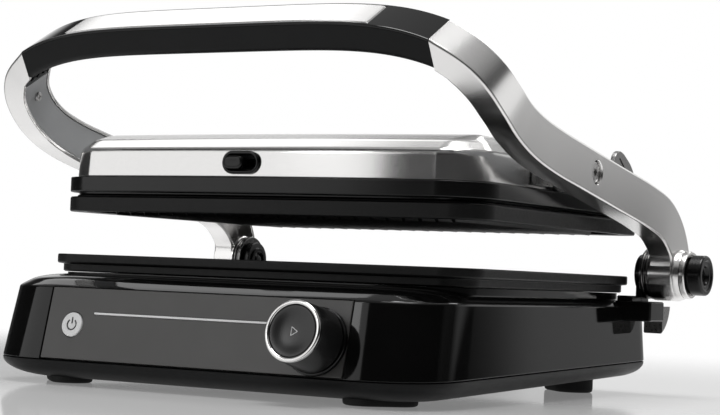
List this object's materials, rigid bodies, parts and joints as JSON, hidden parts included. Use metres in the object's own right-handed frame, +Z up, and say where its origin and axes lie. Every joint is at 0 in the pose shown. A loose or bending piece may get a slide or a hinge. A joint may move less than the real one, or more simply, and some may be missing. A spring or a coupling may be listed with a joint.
{
  "type": "panini press",
  "caption": "Contact grill with a ridged upper plate floating on curved side arms, a bowed front grip, a slanted control panel with a dial, and a rear hinge.",
  "frame": {"origin": "centre of the footprint of the whole object's bounding box, on the surface it stands on", "axes": "+X to the user's right across the machine, +Y from the control panel to the hinge, +Z up"},
  "size_m": [0.379, 0.3628, 0.225],
  "materials": {
    "gloss_black": "high gloss",
    "satin_black": "satin",
    "matt_black": "fine matt texture",
    "panel_grey": "satin, warm dark grey",
    "silver_trim": "satin silver",
    "nonstick": "matt non-stick coating",
    "brushed_steel": "brushed along X",
    "polished_aluminium": "fine satin to polished",
    "chrome": "mirror",
    "mid_grey": "matt",
    "dark_metal": "polished and blackened",
    "grey_metal": "satin",
    "screw_steel": "machined",
    "tin_plate": "satin",
    "element_sheath": "heat-darkened",
    "circuit_board": "solder mask",
    "rubber": "matt"
  },
  "bodies": {
    "base": {"base_pan": "matt_black", "base_housing": "gloss_black", "foot_front_left": "rubber", "foot_front_right": "rubber", "foot_rear_left": "rubber", "foot_rear_right": "rubber", "cord_gland": "matt_black", "control_panel": "panel_grey", "panel_line": "silver_trim", "knob_flange": "gloss_black", "rotary_encoder": "tin_plate", "power_switch": "satin_black", "control_board": "circuit_board", "lower_plate": "nonstick", "lower_reflector": "tin_plate", "lower_heating_element": "element_sheath", "lower_thermostat": "element_sheath", "hinge_bracket_left": "satin_black", "hinge_bracket_right": "satin_black", "hinge_saddle_left": "grey_metal", "hinge_saddle_right": "grey_metal"},
    "power_button": {"power_button": "silver_trim"},
    "knob": {"knob_skirt": "satin_black", "knob_ring": "chrome"},
    "start_button": {"start_button": "matt_black"},
    "lid_axle": {"hinge_axle_left": "dark_metal", "hinge_axle_right": "dark_metal"},
    "arms": {"arm_left": "polished_aluminium", "arm_right": "polished_aluminium", "arm_cover_front_left": "mid_grey", "arm_cover_front_right": "mid_grey", "arm_cover_rear_left": "mid_grey", "arm_cover_rear_right": "mid_grey", "arm_cover_screw_left": "screw_steel", "arm_cover_screw_right": "screw_steel", "grip_body": "matt_black", "grip_band": "gloss_black", "grip_inset": "brushed_steel", "hinge_collar": "chrome", "hinge_plug": "satin_black"},
    "release_cap": {"release_cap": "satin_black"},
    "upper_unit": {"upper_plate": "nonstick", "upper_bezel": "satin_black", "upper_cover": "brushed_steel", "upper_reflector": "tin_plate", "upper_heating_element": "element_sheath", "upper_thermostat": "element_sheath", "side_bracket_left": "grey_metal", "side_bracket_right": "grey_metal", "pivot_screw_left": "screw_steel", "pivot_screw_right": "screw_steel", "latch_escutcheon": "gloss_black"},
    "latch": {"latch_slider": "satin_black"}
  },
  "joints": [
    {"name": "power_press", "type": "slide", "parent": "base", "child": "power_button", "axis": [0, 0.9723, -0.2338], "range_m": [0, 0.0012], "stiffness_N_per_m": 600},
    {"name": "knob_turn", "type": "hinge", "parent": "base", "child": "knob", "pos_m": [0.07635, -0.1505, 0.03424], "axis": [0, -0.9723, 0.2338], "continuous": true},
    {"name": "start_press", "type": "slide", "parent": "knob", "child": "start_button", "axis": [0, 0.9723, -0.2338], "range_m": [0, 0.0015], "stiffness_N_per_m": 600},
    {"name": "lid_open", "type": "hinge", "parent": "base", "child": "lid_axle", "pos_m": [0, 0.15048, 0.0803], "axis": [-1, 0, 0], "range_deg": [0, 100]},
    {"name": "press_down", "type": "hinge", "parent": "lid_axle", "child": "arms", "pos_m": [0, 0.15048, 0.0803], "axis": [1, 0, 0], "range_deg": [0, 11.2]},
    {"name": "float_pivot", "type": "hinge", "parent": "arms", "child": "upper_unit", "pos_m": [0, 0.01688, 0.139], "axis": [1, 0, 0], "range_deg": [-11.2, 0]},
    {"name": "release_press", "type": "slide", "parent": "arms", "child": "release_cap", "axis": [-1, 0, 0], "range_m": [0, 0.003], "stiffness_N_per_m": 500},
    {"name": "latch_slide", "type": "slide", "parent": "upper_unit", "child": "latch", "axis": [1, 0, 0], "range_m": [0, 0.008]}
  ],
  "couplings": [
    {"joint": "float_pivot", "follows": "press_down", "ratio": -1}
  ]
}
